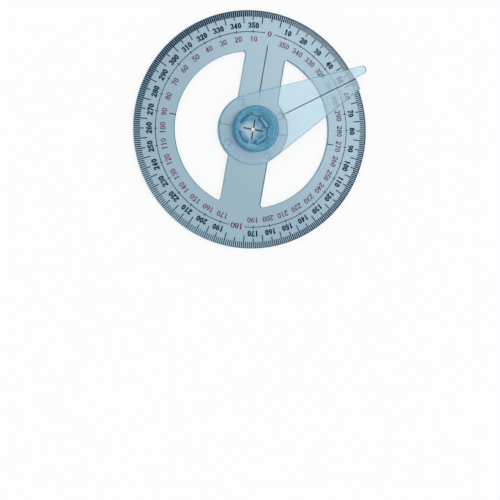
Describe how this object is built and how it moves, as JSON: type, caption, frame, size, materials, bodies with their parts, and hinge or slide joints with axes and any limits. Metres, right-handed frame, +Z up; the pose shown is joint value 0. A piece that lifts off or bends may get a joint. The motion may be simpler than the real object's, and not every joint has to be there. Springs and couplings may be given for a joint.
{
  "type": "angle finder with arm",
  "caption": "Clear blue full-circle protractor with degree scale, two D-shaped windows and a tapered pointer arm that swings on a hollow knurled centre knob.",
  "frame": {"origin": "centre of the pinhole at the disc's underside", "axes": "+Z up out of the knob, +Y from the centre to the 0 mark"},
  "size_m": [0.1, 0.1, 0.0086],
  "materials": {
    "clear_blue_plastic": "clear tinted polystyrene, polished mould faces",
    "frosted_blue_plastic": "tinted polystyrene with a slight haze",
    "black_ink": "thin black print"
  },
  "bodies": {
    "disc": {"protractor_disc": "clear_blue_plastic", "degree_ticks": "black_ink", "five_degree_ticks": "black_ink", "ten_degree_ticks": "black_ink", "scale_circle": "black_ink", "zero_line": "black_ink", "quadrant_lines": "black_ink", "centre_cross": "black_ink"},
    "arm": {"swing_arm": "frosted_blue_plastic", "arm_hairline": "black_ink"}
  },
  "joints": [
    {"name": "arm_swing", "type": "hinge", "parent": "disc", "child": "arm", "pos_m": [0, 0, 0.00285], "axis": [0, 0, 1], "continuous": true}
  ]
}
